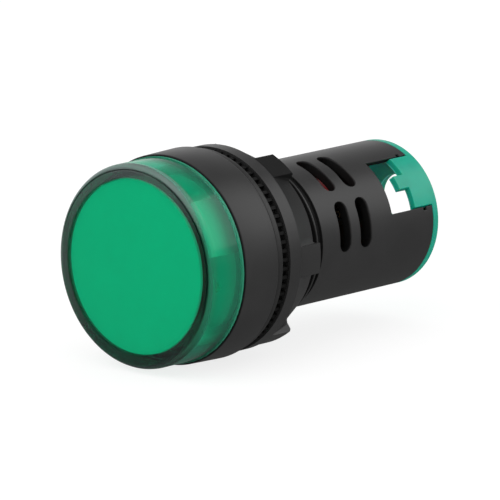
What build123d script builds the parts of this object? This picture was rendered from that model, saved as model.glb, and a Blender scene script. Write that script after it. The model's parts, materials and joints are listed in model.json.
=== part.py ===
from build123d import *
import math
import os

# A pilot light for a 22 mm panel hole: a green lens and its black head stand in
# front of the panel, and the barrel behind it carries a nut, the drive circuit
# and two screw terminals under a green rear cap.
#
# Frame, in millimetres: +Y runs along the barrel towards the back of the panel,
# +Z is up, and the origin lies on the axis at the gasket's rear face, where the
# panel's front surface seats. Every piece is drawn with the wire windows facing
# +Z and -Z, and is then turned about the axis by CLOCK_ANGLE.

os.makedirs("parts", exist_ok=True)

# How the light is turned in its hole: the angle from +Z towards +X at which one
# wire window faces, and at which one lug of the nut stands
CLOCK_ANGLE = 53.2
NUT_ANGLE = 31.0

# General values
CUT_OVERRUN = 1.0           # how far a cutting tool runs past the material
SLIDE_GAP = 0.1             # play of a piece that is pushed into another
SCREW_GAP = 0.05            # play of a screw in its thread, drawn plain

# Head, the part of the housing in front of the panel. Its radius sets those of
# the lens, the gasket and the nut, each by the step between the two
HEAD_LENGTH = 6.6
HEAD_FRONT_R = 14.6
HEAD_TAPER = 0.2            # by which it is wider at the rear
HEAD_EDGE = 0.3             # broken edge at both ends
HEAD_FLOOR = 2.3            # floor between head and barrel
HEAD_WALL = 1.2             # wall round the lens skirt

# Gasket between head and panel
GASKET_THICKNESS = 1.3
GASKET_STEP = 0.3           # from the head's rear edge in to the gasket's

# Threaded barrel; the thread is drawn plain, as wide as its crests
THREAD_SHARE = 0.75         # of the head's radius: 10.95 mm, for a 22.3 mm hole
THREAD_DEPTH = 0.9          # down to the neck at each end of it
THREAD_START = 0.15         # measured, as all places along Y, from the panel seat
THREAD_END = 11.4
THREAD_LEAD_IN = 0.5        # chamfer at its rear end, where the nut goes on
BARREL_START = 12.9         # the smooth barrel, behind the plain neck
BARREL_STEP = 0.6           # from the crest in to the smooth barrel
BARREL_WALL = 1.15
BARREL_LENGTH = 36.7        # from the panel seat to the open end
FRONT_WALL = 1.15           # wall under the necks

# Cooling slots: two rows, in pairs beside each window
VENT_WIDTH = 2.35
VENT_SPAN_ANGLE = 40.0
VENT_SPREAD_ANGLE = 24.75   # from the window's middle to a slot's middle
VENT_ROW_SHARES = (0.328, 0.616)   # along the smooth barrel, up to the windows

# Wire windows, open to the barrel's rear end
WINDOW_LENGTH = 8.7
WINDOW_WIDTH = 8.17
CATCH_FROM_END = 1.9        # the latch notch, measured from the barrel's end
CATCH_LENGTH = 0.6
CATCH_DEPTH = 0.42

# Rails inside the barrel that hold the driver board's edges
RAIL_HEIGHT = 0.9
RAIL_THICKNESS = 0.9
RAIL_START = 0.5
RAIL_FROM_END = 3.7         # from the board's end

# Mounting nut
NUT_BORE_GAP = 0.06         # between its bore and the barrel's crests
SEAT_GAP = 0.04             # between a loose piece and the face it rests on
NUT_LENGTH = 9.1
NUT_STEP = 0.08             # from the gasket's edge in to the nut's
NUT_RING = 1.17             # toothed front ring
NUT_BAND_END = 3.6          # where the flange starts to taper
NUT_REAR_WALL = 0.89        # wall left at its thin rear end
NUT_TEETH = 72
NUT_TOOTH_PHASE_ANGLE = -1.0
NUT_NOTCH_DEPTH = 0.75
NUT_NOTCH_WIDTH = 0.62
NUT_LUGS = 6
NUT_LUG_STEP = 0.17         # from the flange's edge in to the lug's
NUT_LUG_ANGLE = 17.0
NUT_LUG_END = 8.25
NUT_LUG_EDGE = 0.35
NUT_LUG_ROOT = 0.45         # how deep a lug's foot starts outside the bore

# Lens cap
LENS_STEP = 0.4             # from the head's front edge in to the lens
LENS_WALL = 1.95
LENS_PROUD = 6.6            # in front of the head
LENS_FRONT_WALL = 0.8
LENS_EDGE = 0.75            # rounding of the front corner
LENS_EDGE_FACETS = 3        # narrow cones that draw the rounding
LENS_SKIRT = 2.6            # depth of the skirt inside the head

# Diffuser disc behind the lens face
DISC_THICKNESS = 0.8

# White carrier of the lamp board
CARRIER_WALL = 0.9
CARRIER_PANELS = 4
CARRIER_PANEL_ANGLE = 36.4
CARRIER_FIRST_ANGLE = 6.2
CARRIER_RIM = 1.6           # width of the ring that the lamp board lies on
CARRIER_RING_HEIGHT = 2.3

# Lamp board and its lamps
LAMP_BOARD_THICKNESS = 1.2
LAMP_RING_COUNT = 6
LAMP_RING_R = 6.6
LAMP_WIDTH = 3.5
LAMP_HEIGHT = 1.9
LAMP_EDGE = 0.5             # sloping edge round its top

# Link pins between the two boards
LINK_R = 0.4
LINK_X = 3.0
LINK_LAP = 4.0              # length lying on the driver board

# Driver board, on edge in the barrel
BOARD_THICKNESS = 1.6
BOARD_FRONT = -2.4
BOARD_FROM_BLOCK = 0.8      # gap between its end and the terminal block

# Parts on the driver board; their places along it are shares of its length
FILM_CAP_WIDTH = 4.6
FILM_CAP_HEIGHT = 6.2
FILM_CAP_SHARES = (0.677, 0.918)
FILM_CAP_X = -2.4
FILM_CAP_EDGE = 0.9
CAN_R = 2.7
CAN_X = 2.6
CAN_SHARES = (0.428, 0.729)
CAN_GROOVE = 0.3
CAN_GROOVE_FROM_END = 1.1
BRIDGE_WIDTH = 6.2
BRIDGE_HEIGHT = 2.4
BRIDGE_X = -2.8
BRIDGE_SHARES = (0.218, 0.398)
BRIDGE_LIFT = 0.3           # of its body, off the board
BRIDGE_LEG_SHARES = (0.25, 0.75)
RESISTOR_R = 1.1
RESISTOR_LENGTH = 5.6
RESISTOR_X = 3.9
RESISTOR_SHARES = (0.414, 0.729)
RESISTOR_LIFT = 0.5         # under the resistor's body
LEAD_WIDTH = 0.6
LEAD_PROUD = 0.9            # past the body's end, to the bend

# Terminal block
BLOCK_FROM_END = 11.7       # from its front to the barrel's end
BLOCK_THICKNESS = 2.1
BOSS_R = 2.3
BOSS_LENGTH = 2.4
BARRIER_THICKNESS = 1.2
BARRIER_LENGTH = 6.2
TERMINAL_Z = 5.4            # each screw's distance from the axis

# Contact plates
PLATE_THICKNESS = 0.8
PLATE_WIDTH = 5.0
PLATE_INNER_Z = 2.2
PLATE_OUTER_Z = 8.3
TAIL_WIDTH = 2.4
TAIL_LENGTH = 3.6           # reach in front of the plate
FOOT_HEIGHT = 0.8

# Terminal screws and their square clamp washers
SCREW_R = 1.45
SCREW_HEAD_R = 2.55
SCREW_HEAD_HEIGHT = 1.8
SCREW_HEAD_EDGE = 0.35
SCREW_LENGTH = 5.6          # under the head
RECESS_WIDTH = 0.7
RECESS_SPAN = 3.0
RECESS_DEPTH = 0.9
WASHER_WIDTH = 6.4          # across, over the turned edges
WASHER_DEPTH = 6.0
WASHER_THICKNESS = 0.8
WASHER_LIP = 0.5            # turned-down edges that trap the wire
WASHER_LIP_THICKNESS = 0.6
WASHER_SEAT_GAP = 0.1

# Rear cap
CAP_DISC = 1.2
CAP_EDGE = 0.2
CAP_HOLE_R = 3.3            # screwdriver hole
CAP_HOLE_Z = 4.4            # its distance from the axis
CAP_PANEL_WALL = 1.0
CAP_PANEL_LENGTH = 3.7      # from the end disc's inner face
CAP_TAB_LENGTH = 2.0
CAP_TAB_WIDTH = 2.1
CAP_SIDE_GAP = 0.14
CAP_ARM_WALL = 0.9
CAP_ARM_LENGTH = 2.4
CAP_ARM_ANGLE = 70.0

# Places along the axis, worked out from the values above
head_rear = -GASKET_THICKNESS
head_front = head_rear - HEAD_LENGTH
head_floor = head_rear - HEAD_FLOOR
lens_front = head_front - LENS_PROUD
lens_end = head_front + LENS_SKIRT
disc_front = lens_front + LENS_FRONT_WALL
disc_back = disc_front + DISC_THICKNESS
head_bore_r = HEAD_FRONT_R - HEAD_WALL
head_rear_r = HEAD_FRONT_R + HEAD_TAPER
gasket_r = head_rear_r - GASKET_STEP
lens_r = HEAD_FRONT_R - LENS_STEP
lens_bore_r = lens_r - LENS_WALL
thread_r = HEAD_FRONT_R * THREAD_SHARE
barrel_r = thread_r - BARREL_STEP
front_bore_r = thread_r - THREAD_DEPTH - FRONT_WALL
barrel_bore_r = barrel_r - BARREL_WALL
window_front = BARREL_LENGTH - WINDOW_LENGTH
block_front = BARREL_LENGTH - BLOCK_FROM_END
board_end = block_front - BOARD_FROM_BLOCK
carrier_r = lens_bore_r - SLIDE_GAP
lamp_board_back = head_floor - CARRIER_RING_HEIGHT
lamp_board_front = lamp_board_back - LAMP_BOARD_THICKNESS
board_half = BOARD_THICKNESS / 2
block_back = block_front + BLOCK_THICKNESS
plate_back = block_back + PLATE_THICKNESS
washer_front = plate_back + WASHER_SEAT_GAP
washer_back = washer_front + WASHER_THICKNESS
nut_bore_r = thread_r + NUT_BORE_GAP
nut_r = gasket_r - NUT_STEP
nut_rear_r = nut_bore_r + NUT_REAR_WALL
nut_lug_r = nut_r - NUT_LUG_STEP


def turned(outline):
    """A solid turned about the Y axis from (radius, y) points."""
    return revolve(make_face(Polyline(*outline, close=True)), Axis.Y)


def tube(outer_r, inner_r, y_low, y_high):
    """A plain ring about the axis."""
    corners = [(inner_r, y_low), (outer_r, y_low), (outer_r, y_high), (inner_r, y_high)]
    return turned(corners)


def rod(radius, y_low, y_high, x=0, z=0):
    """A round bar along the axis, at x and z."""
    bar = Rot(-90, 0, 0) * Cylinder(radius, y_high - y_low, align=(Align.CENTER, Align.CENTER, Align.MIN))
    return Pos(x, y_low, z) * bar


def sector(outline, angle):
    """An outline turned through part of a circle, its middle on +Z."""
    piece = revolve(make_face(Polyline(*outline, close=True)), Axis.Y, angle)
    middle = piece.center()
    return Rot(0, -math.degrees(math.atan2(middle.X, middle.Z)), 0) * piece


def brick(x_range, y_range, z_range):
    """A box between its low and high x, y and z."""
    low = (Align.MIN, Align.MIN, Align.MIN)
    size = [high - start for start, high in (x_range, y_range, z_range)]
    return Pos(x_range[0], y_range[0], z_range[0]) * Box(*size, align=low)


def both_sides(shape):
    """The shape and its copy on the far side of the axis."""
    return [shape, Rot(0, 180, 0) * shape]


def save(node, shape, angle=CLOCK_ANGLE):
    """Turns a piece to its place about the axis and writes it as its own node."""
    placed = Rot(0, angle, 0) * shape
    placed.label = node
    export_step(placed, f"parts/{node}.step")


# Housing: head and barrel are one moulding

def thread_outline():
    """The barrel's outside from the head to the smooth part: neck, thread and neck."""
    neck_r = thread_r - THREAD_DEPTH
    full_end = THREAD_END - THREAD_LEAD_IN
    return [
        (neck_r, head_rear), (neck_r, THREAD_START), (thread_r, THREAD_START), (thread_r, full_end),
        (neck_r, THREAD_END), (neck_r, BARREL_START), (barrel_r, BARREL_START)]


def vent_cutter(angle, y):
    """A round-ended slot cut straight in through one side of the barrel wall."""
    span = 2 * barrel_r * math.sin(math.radians(VENT_SPAN_ANGLE / 2))
    start = front_bore_r - CUT_OVERRUN
    flat = extrude(SlotOverall(span, VENT_WIDTH), barrel_r + CUT_OVERRUN - start)
    return Rot(0, angle, 0) * Pos(0, y, start) * flat


def window_cutter():
    """Both wire windows with their latch notches, open to the rear end."""
    half = WINDOW_WIDTH / 2
    reach = (-barrel_r - CUT_OVERRUN, barrel_r + CUT_OVERRUN)
    opening = brick((-half, half), (window_front, BARREL_LENGTH + CUT_OVERRUN), reach)
    notch_end = BARREL_LENGTH - CATCH_FROM_END + CATCH_LENGTH
    notch_half = half + CATCH_DEPTH
    notch = brick((-notch_half, notch_half), (notch_end - CATCH_LENGTH, notch_end), reach)
    return opening + notch


def rails():
    """Four ribs inside the barrel, one on each face of the board at each edge."""
    inner = front_bore_r - RAIL_HEIGHT
    start = board_half + SLIDE_GAP / 2
    ribs = Part()
    for x_side in (-1, 1):
        for z_side in (-1, 1):
            x_range = sorted((x_side * inner, x_side * (front_bore_r + FRONT_WALL / 2)))
            z_range = sorted((z_side * start, z_side * (start + RAIL_THICKNESS)))
            ribs += brick(x_range, (RAIL_START, board_end - RAIL_FROM_END), z_range)
    return ribs


def housing():
    """Head with the lens socket, barrel with its slots and windows, and rails."""
    outline = [
        (head_bore_r, head_front), (HEAD_FRONT_R - HEAD_EDGE, head_front),
        (HEAD_FRONT_R, head_front + HEAD_EDGE), (head_rear_r, head_rear - HEAD_EDGE),
        (head_rear_r - HEAD_EDGE, head_rear)]
    outline += thread_outline()
    outline += [
        (barrel_r, BARREL_LENGTH), (barrel_bore_r, BARREL_LENGTH), (barrel_bore_r, block_front),
        (front_bore_r, block_front), (front_bore_r, head_floor), (head_bore_r, head_floor)]
    body = turned(outline) + rails()
    for side_angle in (0, 180):
        for row_share in VENT_ROW_SHARES:
            y = BARREL_START + row_share * (window_front - BARREL_START)
            body -= vent_cutter(side_angle - VENT_SPREAD_ANGLE, y)
            body -= vent_cutter(side_angle + VENT_SPREAD_ANGLE, y)
    return body - window_cutter()


def gasket():
    """Flat rubber ring, stretched over the thread into the neck behind the head."""
    return tube(gasket_r, thread_r - THREAD_DEPTH + SLIDE_GAP, head_rear, head_rear + GASKET_THICKNESS)


# Mounting nut

def nut_lug():
    """One raised lug, turned through its own angle and centred on +Z."""
    foot_r = nut_bore_r + NUT_LUG_ROOT
    start = NUT_BAND_END - NUT_LUG_EDGE
    outline = [
        (foot_r, start), (nut_lug_r, start), (nut_lug_r, NUT_LUG_END - NUT_LUG_EDGE),
        (nut_lug_r - NUT_LUG_EDGE, NUT_LUG_END), (foot_r, NUT_LUG_END)]
    return sector(outline, NUT_LUG_ANGLE)


def mounting_nut():
    """Toothed ring, tapered flange and hub with lugs for a wrench, in one moulding."""
    body = turned([
        (nut_bore_r, 0), (nut_r, 0), (nut_r, NUT_BAND_END), (nut_rear_r, NUT_LENGTH),
        (nut_bore_r, NUT_LENGTH)])
    lug = nut_lug()
    for index in range(NUT_LUGS):
        body += Rot(0, index * 360 / NUT_LUGS, 0) * lug
    half = NUT_NOTCH_WIDTH / 2
    notch = brick((-half, half), (-CUT_OVERRUN, NUT_RING), (nut_r - NUT_NOTCH_DEPTH, nut_r + CUT_OVERRUN))
    notches = []
    for index in range(NUT_TEETH):
        notches.append(Rot(0, NUT_TOOTH_PHASE_ANGLE + index * 360 / NUT_TEETH, 0) * notch)
    return Pos(0, SEAT_GAP, 0) * (body - notches)


# Lens, diffuser and lamp carrier

def lens_cap():
    """Clear green cup with a rounded front corner and a skirt that fits the head."""
    skirt_r = head_bore_r - SLIDE_GAP
    outline = [(0, lens_front)]
    for facet in range(LENS_EDGE_FACETS + 1):
        turn = math.radians(90 * facet / LENS_EDGE_FACETS)
        radius = lens_r - LENS_EDGE + LENS_EDGE * math.sin(turn)
        outline.append((radius, lens_front + LENS_EDGE - LENS_EDGE * math.cos(turn)))
    outline += [
        (lens_r, head_front), (skirt_r, head_front), (skirt_r, lens_end), (lens_bore_r, lens_end),
        (lens_bore_r, disc_front), (0, disc_front)]
    return turned(outline)


def diffuser_disc():
    """Flat green disc held between the lens face and the carrier."""
    return rod(lens_bore_r - SLIDE_GAP, disc_front, disc_back)


def led_carrier():
    """White ring on the head's floor, whose four panels reach the diffuser."""
    inner_r = carrier_r - CARRIER_WALL
    carrier = tube(carrier_r, carrier_r - CARRIER_RIM, lamp_board_back, head_floor)
    outline = [
        (inner_r, disc_back), (carrier_r, disc_back), (carrier_r, head_floor), (inner_r, head_floor)]
    panel = sector(outline, CARRIER_PANEL_ANGLE)
    for index in range(CARRIER_PANELS):
        carrier += Rot(0, CARRIER_FIRST_ANGLE + index * 360 / CARRIER_PANELS, 0) * panel
    return carrier


def led_board():
    """Round board on the carrier's ring, between its panels."""
    return rod(carrier_r - CARRIER_WALL - SLIDE_GAP, lamp_board_front, lamp_board_back)


def lamp(x, z):
    """One square lamp package with sloping top edges, standing on the lamp board."""
    half = LAMP_WIDTH / 2
    top = lamp_board_front - LAMP_HEIGHT
    package = brick((x - half, x + half), (top, lamp_board_front), (z - half, z + half))
    return chamfer(package.faces().sort_by(Axis.Y)[0].edges(), LAMP_EDGE)


def leds():
    """The middle lamp and the ring of lamps round it."""
    lamps = [lamp(0, 0)]
    for index in range(LAMP_RING_COUNT):
        turn = index * 2 * math.pi / LAMP_RING_COUNT
        lamps.append(lamp(LAMP_RING_R * math.sin(turn), LAMP_RING_R * math.cos(turn)))
    return Part() + lamps


def link_pins():
    """Two straight pins from the lamp board to the driver board."""
    end = BOARD_FRONT + LINK_LAP
    pins = []
    for side in (-1, 1):
        pins.append(rod(LINK_R, lamp_board_back, end, side * LINK_X, board_half + LINK_R))
    return Part() + pins


# Driver board and its parts

def along_board(share):
    """The place along the axis that lies a share of the driver board's length from its front."""
    return BOARD_FRONT + share * (board_end - BOARD_FRONT)


def driver_board():
    """Narrow board that slides into the barrel's rails."""
    half_width = front_bore_r - SLIDE_GAP - SLIDE_GAP
    chord = math.sqrt(half_width * half_width - board_half * board_half)
    return brick((-chord, chord), (BOARD_FRONT, board_end), (-board_half, board_half))


def lead(x, y_start, y_bend, z_start, z_end):
    """A square lead that leaves a body along the axis, then bends to the board."""
    half = LEAD_WIDTH / 2
    outward = half if y_bend > y_start else -half
    arm = brick(
        (x - half, x + half), sorted((y_start, y_bend + outward)), (z_start - half, z_start + half))
    toward = half if z_end < z_start else -half
    drop = brick(
        (x - half, x + half), (y_bend - half, y_bend + half), sorted((z_start + toward, z_end)))
    return arm + drop


def film_capacitor():
    """Red block with broken corners that stands on the board."""
    half = FILM_CAP_WIDTH / 2
    y_range = [along_board(share) for share in FILM_CAP_SHARES]
    z_range = (board_half, board_half + FILM_CAP_HEIGHT)
    block = brick((FILM_CAP_X - half, FILM_CAP_X + half), y_range, z_range)
    return chamfer(block.edges().filter_by(Axis.Z), FILM_CAP_EDGE)


def electrolytic_capacitor():
    """Small can that lies along the board's other side."""
    start, end = [along_board(share) for share in CAN_SHARES]
    groove = end - CAN_GROOVE_FROM_END
    can = turned([
        (0, start), (CAN_R, start), (CAN_R, groove - CAN_GROOVE), (CAN_R - CAN_GROOVE, groove),
        (CAN_R, groove + CAN_GROOVE), (CAN_R, end), (0, end)])
    axis_z = -board_half - CAN_R
    can = Pos(CAN_X, 0, axis_z) * can
    for side in (-1, 1):
        can += lead(CAN_X + side * CAN_R / 2, start, start - LEAD_PROUD, axis_z, -board_half)
    return can


def bridge_rectifier():
    """Moulded block with four short legs, flat on the board."""
    start, end = [along_board(share) for share in BRIDGE_SHARES]
    half = BRIDGE_WIDTH / 2
    half_leg = LEAD_WIDTH / 2
    low = board_half + BRIDGE_LIFT
    body = brick((BRIDGE_X - half, BRIDGE_X + half), (start, end), (low, board_half + BRIDGE_HEIGHT))
    for side in (-1, 1):
        inner = BRIDGE_X + side * half
        outer = inner + side * LEAD_PROUD
        for share in BRIDGE_LEG_SHARES:
            leg_y = start + share * (end - start)
            across_leg = (leg_y - half_leg, leg_y + half_leg)
            body += brick(sorted((inner, outer)), across_leg, (low, low + LEAD_WIDTH))
            foot = sorted((outer, outer - side * LEAD_WIDTH))
            body += brick(foot, across_leg, (board_half, low + LEAD_WIDTH))
    return body


def resistor(x, y):
    """Axial resistor, its middle at x and y, held off the board by two bent leads."""
    body_z = board_half + RESISTOR_LIFT + RESISTOR_R
    start = y - RESISTOR_LENGTH / 2
    end = y + RESISTOR_LENGTH / 2
    body = rod(RESISTOR_R, start, end, x, body_z)
    body += lead(x, start, start - LEAD_PROUD, body_z, board_half)
    return body + lead(x, end, end + LEAD_PROUD, body_z, board_half)


def dropper_resistors():
    """The resistors that stand beside the film capacitor."""
    return Part() + [resistor(RESISTOR_X, along_board(share)) for share in RESISTOR_SHARES]


# Terminals

def terminal_block():
    """Disc on the barrel's shoulder with two screw bosses and a barrier between."""
    block = rod(barrel_bore_r - SLIDE_GAP, block_front, block_back)
    half_barrier = BARRIER_THICKNESS / 2
    reach = barrel_bore_r - SLIDE_GAP - CAP_SIDE_GAP
    barrier_end = block_back + BARRIER_LENGTH
    block += brick((-reach, reach), (block_front, barrier_end), (-half_barrier, half_barrier))
    boss_front = block_front - BOSS_LENGTH
    boss = rod(BOSS_R, boss_front, block_front + BLOCK_THICKNESS / 2, 0, TERMINAL_Z)
    hole = rod(SCREW_R + SLIDE_GAP, boss_front - CUT_OVERRUN, block_back + CUT_OVERRUN, 0, TERMINAL_Z)
    half_tail = TAIL_WIDTH / 2 + SCREW_GAP
    tail_z = (PLATE_INNER_Z - SCREW_GAP, PLATE_INNER_Z + PLATE_THICKNESS + SCREW_GAP)
    slot = brick((-half_tail, half_tail), (block_front - CUT_OVERRUN, block_back + CUT_OVERRUN), tail_z)
    for piece in both_sides(boss):
        block += piece
    for piece in both_sides(hole + slot):
        block -= piece
    return block


def contact_plate():
    """Plate under the wire, with a tail through the block to the driver board."""
    half = PLATE_WIDTH / 2
    half_tail = TAIL_WIDTH / 2
    plate = brick((-half, half), (block_back, plate_back), (PLATE_INNER_Z, PLATE_OUTER_Z))
    tail_front = block_back - TAIL_LENGTH
    tail_z = (PLATE_INNER_Z, PLATE_INNER_Z + PLATE_THICKNESS)
    tail = brick((-half_tail, half_tail), (tail_front, plate_back), tail_z)
    foot = brick((-half_tail, half_tail), (tail_front, tail_front + FOOT_HEIGHT), (board_half, tail_z[1]))
    bore = rod(SCREW_R + SCREW_GAP, block_back - CUT_OVERRUN, plate_back + CUT_OVERRUN, 0, TERMINAL_Z)
    return plate + tail + foot - bore


def clamp_washer():
    """Square washer with two turned-down edges that keep the wire in."""
    half = WASHER_WIDTH / 2
    z_range = (TERMINAL_Z - WASHER_DEPTH / 2, TERMINAL_Z + WASHER_DEPTH / 2)
    washer = brick((-half, half), (washer_front, washer_back), z_range)
    for side in (-1, 1):
        x_range = sorted((side * half, side * (half - WASHER_LIP_THICKNESS)))
        washer += brick(x_range, (washer_front - WASHER_LIP, washer_back), z_range)
    cut = (washer_front - CUT_OVERRUN, washer_back + CUT_OVERRUN)
    return washer - rod(SCREW_R + SLIDE_GAP, *cut, 0, TERMINAL_Z)


def terminal_screw():
    """Cheese-head screw with a cross recess; its thread is drawn plain."""
    head_top = washer_back + SCREW_HEAD_HEIGHT
    screw = rod(SCREW_HEAD_R, washer_back, head_top, 0, TERMINAL_Z)
    rim = screw.edges().filter_by(GeomType.CIRCLE).group_by(Axis.Y)[-1]
    screw = chamfer(rim, SCREW_HEAD_EDGE)
    screw += rod(SCREW_R, washer_back - SCREW_LENGTH, washer_back, 0, TERMINAL_Z)
    half_width = RECESS_WIDTH / 2
    half_span = RECESS_SPAN / 2
    depth = (head_top - RECESS_DEPTH, head_top + CUT_OVERRUN)
    screw -= brick((-half_width, half_width), depth, (TERMINAL_Z - half_span, TERMINAL_Z + half_span))
    screw -= brick((-half_span, half_span), depth, (TERMINAL_Z - half_width, TERMINAL_Z + half_width))
    return screw


# Rear cap

def cap_panel():
    """The wall that fills one window, with its wire gate: a tab between two recesses."""
    half = WINDOW_WIDTH / 2 - CAP_SIDE_GAP
    start = BARREL_LENGTH - CAP_PANEL_LENGTH
    half_tab = CAP_TAB_WIDTH / 2
    shell = tube(barrel_r, barrel_r - CAP_PANEL_WALL, start - CAP_TAB_LENGTH, BARREL_LENGTH)
    deep = (0, barrel_r + CUT_OVERRUN)
    wide = brick((-half, half), (start, BARREL_LENGTH + CAP_DISC), deep)
    tab = brick((-half_tab, half_tab), (start - CAP_TAB_LENGTH - CUT_OVERRUN, start + CAP_DISC), deep)
    return shell & (wide + tab)


def cap_arm():
    """One curved arm that slides inside the barrel beside the windows."""
    outer_r = barrel_bore_r - SLIDE_GAP
    inner_r = outer_r - CAP_ARM_WALL
    start = BARREL_LENGTH - CAP_ARM_LENGTH
    end = BARREL_LENGTH + CAP_DISC / 2
    outline = [(inner_r, start), (outer_r, start), (outer_r, end), (inner_r, end)]
    return Rot(0, 90, 0) * sector(outline, CAP_ARM_ANGLE)


def rear_cap():
    """End disc with two screwdriver holes, window panels and locating arms."""
    disc = rod(barrel_r, BARREL_LENGTH, BARREL_LENGTH + CAP_DISC)
    rim = disc.edges().filter_by(GeomType.CIRCLE).group_by(Axis.Y)[-1]
    cap = chamfer(rim, CAP_EDGE)
    for piece in both_sides(cap_panel()) + both_sides(cap_arm()):
        cap += piece
    cut = (BARREL_LENGTH - CUT_OVERRUN, BARREL_LENGTH + CAP_DISC + CUT_OVERRUN)
    for hole_z in (-CAP_HOLE_Z, CAP_HOLE_Z):
        cap -= rod(CAP_HOLE_R, *cut, 0, hole_z)
    return Pos(0, SEAT_GAP, 0) * cap


save("housing", housing())
save("gasket", gasket())
save("mounting_nut", mounting_nut(), NUT_ANGLE)
save("lens_cap", lens_cap())
save("diffuser_disc", diffuser_disc())
save("led_carrier", led_carrier())
save("led_board", led_board())
save("leds", leds())
save("link_pins", link_pins())
save("driver_board", driver_board())
save("film_capacitor", film_capacitor())
save("electrolytic_capacitor", electrolytic_capacitor())
save("bridge_rectifier", bridge_rectifier())
save("dropper_resistors", dropper_resistors())
save("terminal_block", terminal_block())
for number, side_turn in ((1, 0), (2, 180)):
    save(f"contact_plate_{number}", contact_plate(), CLOCK_ANGLE + side_turn)
    save(f"clamp_washer_{number}", clamp_washer(), CLOCK_ANGLE + side_turn)
    save(f"terminal_screw_{number}", terminal_screw(), CLOCK_ANGLE + side_turn)
save("rear_cap", rear_cap())
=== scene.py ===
# %% [markdown]
# # A panel pilot light
# The object is a round LED light for a 22 mm hole in a control panel: a clear
# green lens in a black head, a threaded black barrel with a lugged nut, cooling
# slots, and a green cap over the wire terminals. Its solids come from CAD as a
# fixed frame. Blender adds what a moulding has and a plain solid lacks: rounded
# edges, a true thread, clear plastic, and a surface that takes the light well.
# The frame is loaded first, because every piece below is placed by it.

# %% Load the fixed frame
import json
import math

import bmesh
import bpy
import numpy as np
from mathutils import Matrix

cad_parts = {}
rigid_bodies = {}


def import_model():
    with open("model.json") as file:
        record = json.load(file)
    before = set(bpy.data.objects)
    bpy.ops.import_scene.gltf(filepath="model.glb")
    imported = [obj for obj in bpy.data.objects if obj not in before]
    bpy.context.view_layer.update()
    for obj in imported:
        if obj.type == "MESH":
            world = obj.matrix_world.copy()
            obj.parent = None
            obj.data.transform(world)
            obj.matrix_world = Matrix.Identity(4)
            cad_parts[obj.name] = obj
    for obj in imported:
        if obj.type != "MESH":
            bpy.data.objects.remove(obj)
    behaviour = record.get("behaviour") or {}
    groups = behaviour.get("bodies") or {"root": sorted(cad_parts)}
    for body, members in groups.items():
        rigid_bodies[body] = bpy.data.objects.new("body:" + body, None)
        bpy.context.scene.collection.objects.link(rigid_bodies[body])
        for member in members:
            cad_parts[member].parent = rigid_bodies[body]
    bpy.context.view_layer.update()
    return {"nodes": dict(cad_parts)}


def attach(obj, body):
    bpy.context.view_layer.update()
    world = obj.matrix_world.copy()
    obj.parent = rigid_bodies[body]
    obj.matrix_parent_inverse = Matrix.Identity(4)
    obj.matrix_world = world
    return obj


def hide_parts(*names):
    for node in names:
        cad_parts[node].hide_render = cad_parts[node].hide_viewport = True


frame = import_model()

MM = 0.001
nodes = frame["nodes"]

# %% [markdown]
# ## Where the pieces are
# The axis of the light is Y, the panel's front surface is at y = 0, and angles go
# round the axis from +Z towards +X. The places that the pieces need are few, so
# they are written once here, in millimetres, as the CAD has them.

# %% Main sizes of the light, in millimetres
CLOCK = 53.2            # the angle, in degrees, at which a wire window faces
NUT_CLOCK = 31.0        # the angle of one lug of the nut
HEAD_FRONT, HEAD_REAR, HEAD_FLOOR = -7.9, -1.3, -3.6
HEAD_FRONT_R, HEAD_REAR_R, HEAD_BORE_R = 14.6, 14.8, 13.4
THREAD_R, NECK_R, THREAD_PITCH = 10.95, 10.05, 1.5
BARREL_R, FRONT_BORE_R, REAR_BORE_R = 10.35, 8.9, 9.2
BARREL_START, SHOULDER, BARREL_END = 12.9, 25.0, 36.7
LENS_R, LENS_BORE_R, LENS_FRONT, LENS_END = 14.2, 12.25, -14.5, -5.3
print("head", HEAD_REAR - HEAD_FRONT, "mm long, barrel", BARREL_END, "mm behind the panel")

# %% [markdown]
# ## From arrays to a mesh
# A moulded part is a skin of smooth patches that meet at corners. Each patch is
# worked out as an array of points in rows and columns, and every four neighbours
# make one face. Where two patches share a border, or a row shrinks to one point,
# the points coincide and are merged. That keeps the skin closed with no special
# cases, which box modelling by hand would not.

# %% Grids of points to one closed mesh
MERGE_REACH = 4e-7      # metres within which two points of a new skin are one


def polar(radius, y, angle):
    """Points at x = r sin a, z = r cos a and height y, the angle in degrees, sizes in mm."""
    radius, y, angle = np.broadcast_arrays(radius, y, np.radians(angle))
    return np.stack([radius * np.sin(angle), y, radius * np.cos(angle)], axis=-1)


def quads_of(rows, columns, start=0):
    """Index of each grid cell's four corners, as an array (rows-1, columns-1, 4)."""
    index = start + np.arange(rows * columns).reshape(rows, columns)
    return np.stack([index[:-1, :-1], index[1:, :-1], index[1:, 1:], index[:-1, 1:]], axis=-1)


def mesh_object(name, points, quads, crease=30.0):
    """Writes points (n, 3) in mm and quads (m, 4) to a mesh, merged and facing outwards."""
    mesh = bpy.data.meshes.new(name)
    mesh.vertices.add(len(points))
    mesh.vertices.foreach_set("co", (points * MM).astype(np.float32).ravel())
    mesh.loops.add(quads.size)
    mesh.loops.foreach_set("vertex_index", quads.astype(np.int32).ravel())
    mesh.polygons.add(len(quads))
    mesh.polygons.foreach_set("loop_start", np.arange(0, quads.size, 4, dtype=np.int32))
    mesh.update(calc_edges=True)
    tidy(mesh, MERGE_REACH)
    shade(mesh, crease)
    piece = bpy.data.objects.new(name, mesh)
    bpy.context.scene.collection.objects.link(piece)
    print(name, len(mesh.vertices), "points", len(mesh.polygons), "faces")
    return piece


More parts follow.
